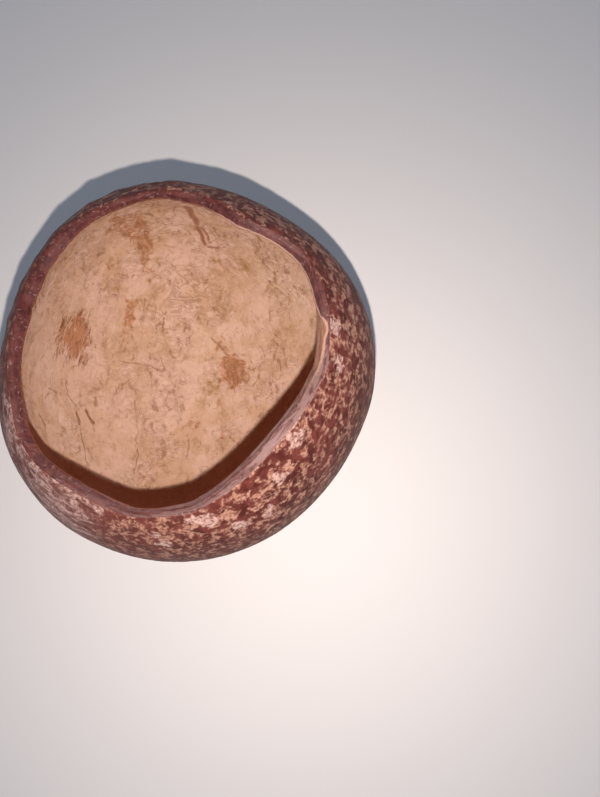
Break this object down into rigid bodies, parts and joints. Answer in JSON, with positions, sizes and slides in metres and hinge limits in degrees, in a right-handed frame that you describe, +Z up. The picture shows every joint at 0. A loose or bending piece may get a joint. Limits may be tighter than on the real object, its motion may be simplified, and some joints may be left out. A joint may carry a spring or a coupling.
{
  "type": "coconut shell",
  "caption": "Hollow ball-shaped coconut shell with a wavy hand-sawn mouth on top, which holds things like a deep bowl and rests on a small flat spot.",
  "frame": {"origin": "centre of the flat spot that the shell rests on", "axes": "+Z up through the mouth; Y along the nut's long axis, with the closed eyes at the +Y end, low on the side"},
  "size_m": [0.1162, 0.1192, 0.094],
  "materials": {
    "shell": "hard woody shell: satin dark red-brown outside with pale fibre flecks, smooth sawn rim, matt tan inside"
  },
  "bodies": {
    "root": {"coconut_shell": "shell"}
  },
  "joints": []
}
